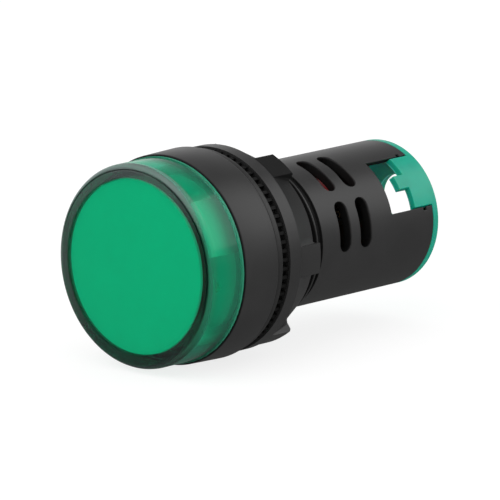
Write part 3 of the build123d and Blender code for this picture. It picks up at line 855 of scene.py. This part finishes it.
def moulded_black(name, base, roughness, grain, skin=None):
    """Satin plastic: a spark-eroded grain, slow changes of gloss and tone, and painted shade,
    darker and duller, where the mask gives 0.
    """
    finish = Finish(name, IOR=1.5)
    cloud = finish.noise(0.16, 2.0)
    fine = finish.noise(9.0, 2.0)
    scuff = finish.noise(0.9, 5.0, stretch=(1.0, 0.25, 1.0), roughness=0.7).between(0.6, 0.8)
    lightness = cloud.between(0.35, 0.75) * 0.6 + scuff * 0.25
    tone = finish.blend(lightness, base, scaled(base, 1.25))
    gloss = roughness + (cloud - 0.5) * 0.1 + (fine - 0.5) * 0.06 + scuff * 0.04
    # Painted shade: where the mask is 0 the tone falls to near black and the gloss gets duller.
    if skin:
        share = skin(finish)
        tone = finish.blend(share, scaled(base, 0.04), tone)
        gloss = gloss + (1.0 - share) * 0.4
    return finish.feed(Base_Color=tone, Roughness=gloss, Normal=finish.bump(fine, grain))


# Painted shade from the masks: recesses of the housing, and the nut's teeth and upper taper.
black = moulded_black("black_plastic_finish", BLACK, 0.38, 0.004, housing_painted_shade_mask)
nut_black = moulded_black("nut_plastic_finish", BLACK, 0.38, 0.005, flange)
rubber = moulded_black("black_rubber_finish", (0.027, 0.027, 0.027), 0.42, 0.006)
print("black finishes:", black.name, nut_black.name, rubber.name)

# %% [markdown]
# ## The clear lens
# The lens is dyed clear plastic, so it is a transmitting shader with its colour in
# the body. Its ring, corner and side also look milky, because the plastic passes on
# light from the disc, the carrier and the tent that a few bounces of a path tracer
# don't gather. Painting that light for one view would be wrong from all others, so
# here it is painted light and shade in matt coats, mixed in by small shares that
# depend only on the place on the lens. The body's colour also gets painted shade:
# darker on the ring, and on the corner and side below and at the left.

# %% Masks on the lens
lens_finish = Finish("lens_green_finish", IOR=1.49, Transmission_Weight=1.0)
wave = lens_finish.noise(0.35, 2.0)
x, y, z = lens_finish.split(lens_finish.place())
radius = lens_finish.length_of(x, z)
front = y.under(FACE_BACK - 0.4, FACE_BACK)
ring = radius.between(LENS_BORE_R - 0.15, LENS_BORE_R + 0.25) * front
corner = radius.between(LENS_R - 0.7, LENS_R - 0.4)
corner *= y.under(LENS_FRONT + CORNER, LENS_FRONT + CORNER + 0.4)
wall = radius.between(LENS_R - 1.2, LENS_R - 0.8) * y.between(FACE_BACK, FACE_BACK + 0.9)
line = radius.between(LENS_R - 0.92, LENS_R - 0.82) * radius.under(LENS_R - 0.74, LENS_R - 0.6)
line *= front
low, left = z.under(-13.0, -5.0), x.under(-13.0, -5.0)
high, right = z.between(4.0, 13.0), x.between(7.0, 13.0)
print("masks: ring, corner, wall and line, at the low, high, left and right side")

# %% Clear body of the lens, with painted shade
# Painted shade: the body's colour is darker on the ring, and on the corner and side below and at
# the left.
lens_painted_shade = ring * 0.8 + (corner * (low + left) + wall * low) * 0.5
clear = lens_finish.blend(wave, (0.10, 0.95, 0.65), (0.11, 0.97, 0.67))
lens_green = lens_finish.feed(
    Base_Color=lens_finish.blend(lens_painted_shade, clear, (0.03, 0.28, 0.20)),
    Roughness=0.03 + wave * 0.02)


def painted_coat(share, first, second, **links):
    """A matt coat of painted light or shade between two colours, mixed in by a small share."""
    values = {"Base Color": lens_finish.blend(share, first, second), "Roughness": 0.6,
              "Specular IOR Level": 0.0}
    return lens_finish.node("ShaderNodeBsdfPrincipled", None, {**values, **links})


print("lens body:", lens_green.name)

# %% [markdown]
# Four coats are enough, all painted light or shade: a grey frost of painted light on
# the ring round the disc, more at the top and left, less below and at the right,
# with a normal that points outwards so that it is lit like the corner next to it; a
# pale painted reflection on the corner, stronger at the top and left; a green
# painted glow on the side and at the corner's right, less below, with a brighter
# painted highlight line on the collar; and a painted dark line on the upper side,
# where the ring meets the corner.

# %% Painted light and shade coats on the lens
outwards = lens_finish.node("ShaderNodeCombineXYZ", None, {0: x, 1: -9.0, 2: z})
outwards = lens_finish.node("ShaderNodeVectorMath", {"operation": "NORMALIZE"}, {0: outwards})
# Painted light: the frost, milk and sheen coats; painted shade: the dark line coat.
painted_light_frost = painted_coat(wave, (0.50, 0.62, 0.60), (0.44, 0.56, 0.54), Normal=outwards)
painted_glow_milk = painted_coat(y.between(-12.5, -8.6), (0.01, 0.85, 0.42), (0.08, 0.50, 0.32))
painted_reflection_sheen = painted_coat(wave, (0.40, 0.54, 0.50), (0.36, 0.50, 0.46))
painted_dark_line = painted_coat(wave, (0.0, 0.012, 0.008), (0.0, 0.008, 0.006))
coats = [
    (painted_light_frost, ring * (0.09 - 0.045 * low + 0.06 * left + 0.07 * high - 0.07 * right)),
    (painted_glow_milk, corner * right * 0.16),
    (painted_reflection_sheen, corner * (0.03 + 0.1 * left + 0.3 * z.between(5.0, 14.0))),
    (painted_dark_line, line * (x * 0.3 + z).between(-4.0, 2.0) * 0.85),
    (painted_glow_milk, wall * (0.23 - 0.17 * low + 0.25 * y.between(-8.35, -8.3))),
]
surface = lens_finish.surface()
for coat, share in coats:
    surface = lens_finish.node("ShaderNodeMixShader", None, {0: share, 1: surface, 2: coat})
lens_finish.show(surface)
print("coats on the lens:", len(coats))

# %% [markdown]
# ## The opaque greens
# The disc behind the lens scatters the light and stays an even bright green. Cap
# and terminal block are opaque green, with a little light passing under the skin.
# Inside the cap the faces get painted light, a paler green, and the block gets
# painted shade, near black in its front part, where it sits in the barrel.

# %% Disc
disc_finish = Finish("diffuser_green_finish", IOR=1.45)
haze = disc_finish.noise(0.12, 1.0)
speck = disc_finish.noise(6.0, 2.0)
diffuser_green = disc_finish.feed(
    Base_Color=disc_finish.blend(haze, (0.07, 0.93, 0.86), (0.08, 0.96, 0.89)),
    Roughness=0.45 + speck * 0.1,
    Normal=disc_finish.bump(speck, 0.0004))
print("disc:", diffuser_green.name)


# %% Cap and terminal block, with painted light and shade
CAP_INSIDE_Y, CAP_INSIDE_R = 36.74, BARREL_R - 1.0
# Painted shade: the terminal block is near black ahead of this y, towards the panel.
BLOCK_PAINTED_SHADE_Y = 26.4


def painted_light_inside(finish, tone):
    """The cap's tone with painted light: paler on its inner face and on the inner sides of its
    panels.
    """
    x, y, z = finish.split(finish.place())
    # Painted light: the pale colour goes on the inner faces.
    outer = finish.length_of(x, z).between(CAP_INSIDE_R, CAP_INSIDE_R + 0.3)
    behind = y.between(CAP_INSIDE_Y + 0.05, CAP_INSIDE_Y + 0.3)
    return finish.blend(outer.larger(behind), (0.22, 0.95, 0.82), tone)


def painted_shade_in_front(finish, tone):
    """The block's tone with painted shade: near black in its front part, in the barrel."""
    x, y, z = finish.split(finish.place())
    behind = y.between(BLOCK_PAINTED_SHADE_Y - 0.1, BLOCK_PAINTED_SHADE_Y + 0.1)
    return finish.blend(behind, (0.012, 0.012, 0.012), tone)


def moulded_green(name, base, roughness, change):
    """Smooth plastic, a little translucent, with faint flow clouds and a very fine peel; change
    paints light or shade into its tone.
    """
    finish = Finish(name, IOR=1.5, Subsurface_Weight=0.5, Subsurface_Scale=2 * MM)
    cloud = finish.noise(0.25, 3.0)
    peel = finish.noise(3.0, 1.0)
    tone = finish.blend(cloud.between(0.3, 0.8), base, scaled(base, 0.85))
    return finish.feed(
        Base_Color=change(finish, tone), Roughness=roughness + (cloud - 0.5) * 0.12,
        Normal=finish.bump(peel, 0.006))


cap_green = moulded_green("cap_green_finish", (0.014, 0.50, 0.345), 0.34, painted_light_inside)
terminal_green = moulded_green("terminal_green_finish", (0.04, 0.60, 0.42), 0.32, painted_shade_in_front)
print("green finishes:", cap_green.name, terminal_green.name)

# %% [markdown]
# ## Inside parts
# White carrier, laminate boards, tinned leads, brass plates and plated screws. Each
# gets the detail that its making leaves: the weave of the laminate, the fine
# rolled lines in brass, and a blue-grey mottle on zinc. The carrier gets painted
# shade, grey towards the head. Only the upper part of the red capacitor shows red
# through its slot, so below that it gets painted shade, near black.

# %% Helpers for the parts inside
RESISTOR_MIDDLE, RESISTOR_STEP = 8.6, 8.4   # the first one's middle, and the step to the next


def plain_moulding(name, base, roughness, grain=0.004, variation=0.9, shine=0.5, painted_shade_below=None):
    """Even plastic with a light grain and a faint change of tone, and painted shade, near black,
    below a height.
    """
    finish = Finish(name, IOR=1.5, Specular_IOR_Level=shine)
    cloud = finish.noise(0.3, 3.0)
    fine = finish.noise(7.0, 2.0)
    tone = finish.blend(cloud, base, scaled(base, variation))
    if painted_shade_below:
        x, y, z = finish.split(finish.place())
        # Painted shade: near black below the height.
        above = z.between(painted_shade_below - 0.3, painted_shade_below + 0.3)
        tone = finish.blend(above, (0.02, 0.012, 0.012), tone)
    return finish.feed(
        Base_Color=tone, Roughness=roughness + (fine - 0.5) * 0.1,
        Normal=finish.bump(fine, grain))


def laminate(name, base, thread_colour):
    """Board with the weave of its glass cloth just visible under the varnish."""
    finish = Finish(name, IOR=1.5, Coat_Roughness=0.2)
    cloth = {"Vector": finish.place(), "Scale": 1.6, "Distortion": 0.4, "Detail": 1.0}
    warp = finish.node("ShaderNodeTexWave", {"bands_direction": "X"}, cloth, output=1)
    weft = finish.node("ShaderNodeTexWave", {"bands_direction": "Y"}, cloth, output=1)
    weave = (warp + weft) * 0.5
    return finish.feed(
        Base_Color=finish.blend(weave, base, thread_colour), Roughness=0.35 + weave * 0.15,
        Coat_Weight=0.2 + weave * 0.1, Normal=finish.bump(weave, 0.01))


def metal(name, base, tint, roughness, stretch):
    """Bare or plated metal with fine rolled lines along the long side of the stretch."""
    finish = Finish(name)
    lines = finish.noise(4.0, 3.0, stretch=stretch)
    mottle = finish.noise(0.8, 4.0)
    return finish.feed(
        Base_Color=finish.blend(mottle, base, tint), Metallic=1.0 - lines * 0.02,
        Roughness=roughness + (lines - 0.5) * 0.2 + (mottle - 0.5) * 0.1,
        Normal=finish.bump(lines, 0.004))


def banded(name, base, bands):
    """Lacquered resistors in a row along Y, each with bands at distances from its middle."""
    finish = Finish(name, IOR=1.5)
    x, y, z = finish.split(finish.place())
    stripe = y.math("PINGPONG", y - RESISTOR_MIDDLE, RESISTOR_STEP / 2)
    colour = finish.blend(finish.noise(1.0), base, scaled(base, 0.85))
    for low, high, paint in bands:
        share = stripe.between(low - 0.05, low + 0.05) * stripe.under(high - 0.05, high + 0.05)
        colour = finish.blend(share, colour, paint)
    return finish.feed(Base_Color=colour, Roughness=0.3 + finish.noise(2.0) * 0.1)


def shaded_white(name):
    """White reflector plastic with painted shade: white at its front end, grey towards the head."""
    finish = Finish(name, IOR=1.5)
    x, y, z = finish.split(finish.place())
    cloud = finish.noise(0.3, 3.0)
    tone = finish.blend(cloud, (0.90, 0.92, 0.88), (0.86, 0.88, 0.84))
    # Painted shade: the tone turns grey from y -12.4 to -8.2, towards the head.
    return finish.feed(
        Base_Color=finish.blend(y.between(-12.4, -8.2), tone, (0.20, 0.24, 0.22)),
        Roughness=0.3 + cloud * 0.1)


# %% Finishes of the parts inside
white_plastic = shaded_white("white_plastic_finish")
lamp_green = plain_moulding("lamp_green_finish", (0.20, 0.62, 0.36), 0.12, grain=0.001)
capacitor_red = plain_moulding(
    "capacitor_red_finish", (0.46, 0.028, 0.033), 0.3, grain=0.003, variation=0.75, shine=0.2,
    painted_shade_below=4.5)
capacitor_black = plain_moulding("capacitor_black_finish", (0.03, 0.03, 0.045), 0.3)
component_black = plain_moulding("component_black_finish", (0.03, 0.03, 0.03), 0.5, grain=0.008)
lamp_board = laminate("lamp_board_finish", (0.74, 0.75, 0.70), (0.66, 0.67, 0.62))
circuit_board = laminate("circuit_board_finish", (0.42, 0.30, 0.13), (0.34, 0.23, 0.09))
tinned = metal("tinned_metal_finish", (0.72, 0.72, 0.73), (0.60, 0.60, 0.62), 0.3, (1.0, 0.2, 1.0))
brass = metal("plate_brass_finish", (0.80, 0.62, 0.33), (0.66, 0.48, 0.24), 0.28, (1.0, 1.0, 0.1))
plated = metal("plated_steel_finish", (0.66, 0.67, 0.69), (0.52, 0.54, 0.57), 0.26, (1.0, 0.3, 1.0))
resistor_blue = banded("resistor_blue_finish", (0.16, 0.36, 0.48), [
    (0.2, 0.6, (0.35, 0.15, 0.02)), (1.0, 1.4, (0.02, 0.02, 0.02)), (1.8, 2.2, (0.6, 0.4, 0.02))])
print("metals:", tinned.name, brass.name, plated.name)

# %% Give every piece its finish
FINISHES = {
    "housing_moulding": black, "nut_moulding": nut_black, "gasket_ring": rubber,
    "lens_shell": lens_green, "diffuser_plate": diffuser_green, "rear_cap_soft": cap_green,
    "terminal_block_soft": terminal_green, "contact_plate_1_soft": brass,
    "contact_plate_2_soft": brass, "clamp_washer_1_soft": plated, "clamp_washer_2_soft": plated,
    "terminal_screw_1_soft": plated, "terminal_screw_2_soft": plated,
    "film_capacitor_soft": capacitor_red, "led_carrier_soft": white_plastic,
    "leds_soft": lamp_green, "bridge_rectifier_soft": component_black, "led_board": lamp_board,
    "link_pins": tinned, "driver_board": circuit_board,
    "electrolytic_capacitor": capacitor_black, "dropper_resistors": resistor_blue,
}
for piece_name, material in FINISHES.items():
    piece = bpy.data.objects[piece_name]
    if piece_name in nodes:
        piece.material_slots[0].material = material
    else:
        piece.data.materials.append(material)
print("finishes given:", len(FINISHES))

# %% [markdown]
# ## Studio
# The photograph is a plain product shot in a white tent: soft light from all sides,
# a long softbox behind the light to the upper right, an open white wall on the
# left, and little light from the front. The softbox is what draws the pale stripe
# along every black cylinder, and a small box at the front left gives the thin light
# line along the top of the lens. Rays from the camera see floor and world as
# white. Rays that a gloss or the lens sends on see them too, but as bright as that
# side of the tent is.

# %% The tent, by the clock angle of a direction
WORLD_LIGHT, CAMERA_SEES, GLASS_SEES = 0.7, 1.0, 0.5
TENT = [        # clock angle as a share of a full turn from straight down by the left, brightness
    (0.0, 0.05), (0.21, 0.05),
    (0.27, 1.10), (0.33, 0.70), (0.44, 0.16),               # the open wall on the left
    (0.50, 0.03), (0.52, 0.06),                             # straight up
    (0.55, 0.90), (0.62, 0.90), (0.68, 0.75), (0.74, 0.20),  # the long softbox
    (0.78, 0.05), (1.0, 0.05)]
LENS_BOX = (-0.651, -0.681, 0.331)                          # the way to the small box
VIEWERS = ("Is Camera Ray", "Is Glossy Ray", "Is Transmission Ray", "Diffuse Depth")


def tent_level(desk, x, y, z):
    """Brightness of a direction: a ramp over its angle about Y, fading out towards the front.

    The angle runs from -180 degrees (straight down, by the left) over 0 (up) to 180, as 0 to 1."""
    clock = x.math("ARCTAN2", x, z) * (0.5 / math.pi) + 0.5
    stops = [(place, (level,) * 3) for place, level in TENT]
    ramp = desk.node("ShaderNodeValToRGB", {"stops": stops}, {0: clock})
    rear, straight = y.between(-0.35, 0.35), y.between(0.86, 0.97)
    lens_box = (x * LENS_BOX[0] + y * LENS_BOX[1] + z * LENS_BOX[2]).between(0.93, 0.985)
    return 0.04 + ramp * rear * (1.0 - straight) + 0.3 * straight + 2.0 * lens_box


def seen(desk, plain, for_camera, for_gloss, for_glass):
    """The plain shader lights the object; camera, gloss and glass rays get one of their own.

    Light that comes to a diffuse surface through the lens is still plain light."""
    camera_ray, gloss_ray, glass_ray, depth = (
        desk.node("ShaderNodeLightPath", output=ray) for ray in VIEWERS)
    direct = 1.0 - depth.math("MINIMUM", depth, 1.0)
    inner = desk.node("ShaderNodeMixShader", None, {0: glass_ray, 1: for_gloss, 2: for_glass})
    shown = gloss_ray.larger(glass_ray) * direct
    inner = desk.node("ShaderNodeMixShader", None, {0: shown, 1: plain, 2: inner})
    return desk.node("ShaderNodeMixShader", None, {0: camera_ray, 1: inner, 2: for_camera})


print("tent stops:", len(TENT))

# %% World
world = bpy.data.worlds.new("white tent")
bpy.context.scene.world = world
world.use_nodes = True
desk = NodeDesk(world.node_tree)
soft = world.node_tree.nodes["Background"]
soft.inputs["Color"].default_value = (1.0, 1.0, 1.0, 1.0)
soft.inputs["Strength"].default_value = WORLD_LIGHT
toward = desk.split(desk.node("ShaderNodeTexCoord", output="Generated"))
white, calm, graded = (
    desk.node("ShaderNodeBackground", None, {"Strength": level})
    for level in (CAMERA_SEES, GLASS_SEES, tent_level(desk, *toward)))
desk.put(world.node_tree.nodes["World Output"].inputs["Surface"],
         seen(desk, Signal(desk, soft.outputs[0]), white, graded, calm))
print("world light:", WORLD_LIGHT)

# %% [markdown]
# The floor stays a real surface, so that it keeps the light's shadow. To the camera
# it is a matt grey lifted to white by a glow, and to a gloss it is dim, but for a
# brighter part at the left that undersides mirror.

# %% Floor
FLOOR_Z, FLOOR_REACH = -14.85, 900          # millimetres
FLOOR_GLOW, FLOOR_BOUNCE, FLOOR_IN_GLASS = 0.8, 0.40, 0.12
side = np.linspace(-FLOOR_REACH, FLOOR_REACH, 2)
floor_grid = np.stack(np.broadcast_arrays(side[:, None], side[None, :], FLOOR_Z), axis=-1)
floor = patches_object("floor", [floor_grid])
if floor.data.polygons[0].normal.z < 0:
    floor.data.flip_normals()
ground = bpy.data.materials.new("floor_white")
ground.use_nodes = True
desk = NodeDesk(ground.node_tree)
matte = ground.node_tree.nodes["Principled BSDF"]
matte.inputs["Base Color"].default_value = (0.3, 0.3, 0.3, 1.0)
matte.inputs["Roughness"].default_value = 0.9
matte.inputs["Specular IOR Level"].default_value = 0.0
matte = Signal(desk, matte.outputs[0])
x, y, z = desk.split(desk.node("ShaderNodeTexCoord", output="Object"))
at_left = x.under(-0.09, -0.05) * y.between(-0.065, -0.045)
glow, bounce, calm, floor_gloss = (
    desk.node("ShaderNodeEmission", None, {"Strength": level})
    for level in (FLOOR_GLOW, FLOOR_BOUNCE, FLOOR_IN_GLASS, 0.11 + 0.5 * at_left))
lit, lifted = (
    desk.node("ShaderNodeAddShader", None, {0: matte, 1: light}) for light in (bounce, glow))
desk.put(ground.node_tree.nodes["Material Output"].inputs["Surface"],
         seen(desk, lit, lifted, floor_gloss, calm))
floor.data.materials.append(ground)
print("floor at", FLOOR_Z, "mm")


# %% Lamps
def softbox(name, place, size, power):
    """A square area lamp at place, facing the origin, sizes in metres."""
    lamp = bpy.data.objects.new(name, bpy.data.lights.new(name, "AREA"))
    lamp.data.size = size
    lamp.data.energy = power
    direction = np.array(place) / np.linalg.norm(place)
    side_way = np.cross((0.0, 0.0, 1.0), direction)
    side_way /= np.linalg.norm(side_way)
    matrix = np.eye(4)
    matrix[:3, :3] = np.stack([side_way, np.cross(direction, side_way), direction], axis=1)
    matrix[:3, 3] = place
    lamp.matrix_world = Matrix(matrix)
    bpy.context.scene.collection.objects.link(lamp)
    print(name, power, "watts")


softbox("rear box", (0.53, 0.80, 0.56), 0.7, 0.8)
softbox("front box", (0.1, -0.8, 0.7), 1.0, 3.0)
bpy.context.scene.view_settings.view_transform = "Standard"
